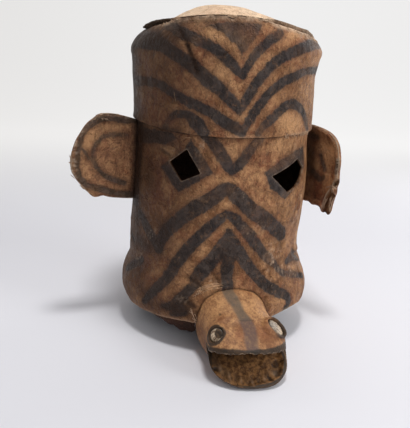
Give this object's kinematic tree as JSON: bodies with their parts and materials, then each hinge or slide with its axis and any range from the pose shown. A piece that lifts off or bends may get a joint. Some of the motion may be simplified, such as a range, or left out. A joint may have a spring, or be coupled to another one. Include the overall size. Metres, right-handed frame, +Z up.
{
  "type": "helmet mask",
  "caption": "Tall helmet mask of painted bark cloth with a crown band, a domed lid, ear flaps, cut eye holes and a carved animal head that juts out through the front of the rim",
  "frame": {"origin": "middle of the footprint, on the ground that the mask stands on", "axes": "+Z up, the face and the carved animal head look along -Y, +X towards the wearer's left ear"},
  "size_m": [0.3512, 0.349, 0.4234],
  "materials": {
    "bark_cloth": "stiffened bark cloth, red-brown, with painted dark chevrons",
    "crown_cloth": "stiffened bark cloth, red-brown, with painted dark bands",
    "raw_cloth": "raw tan bark cloth, fibrous at its edge",
    "ear_cloth": "stiffened bark cloth in layers, with a painted border and stripe",
    "carved_wood": "light carved wood, worn, with a painted stripe and dark lips",
    "eye_inlay": "cream inlay with a dark stain for the pupil",
    "old_lining": "torn dark lining cloth"
  },
  "bodies": {
    "root": {"face_shell": "bark_cloth", "crown_band": "crown_cloth", "crown_lid": "raw_cloth", "ear_right": "ear_cloth", "ear_left": "ear_cloth", "animal_head": "carved_wood", "animal_eye_right": "eye_inlay", "animal_eye_left": "eye_inlay", "chin_lining": "old_lining"}
  },
  "joints": []
}
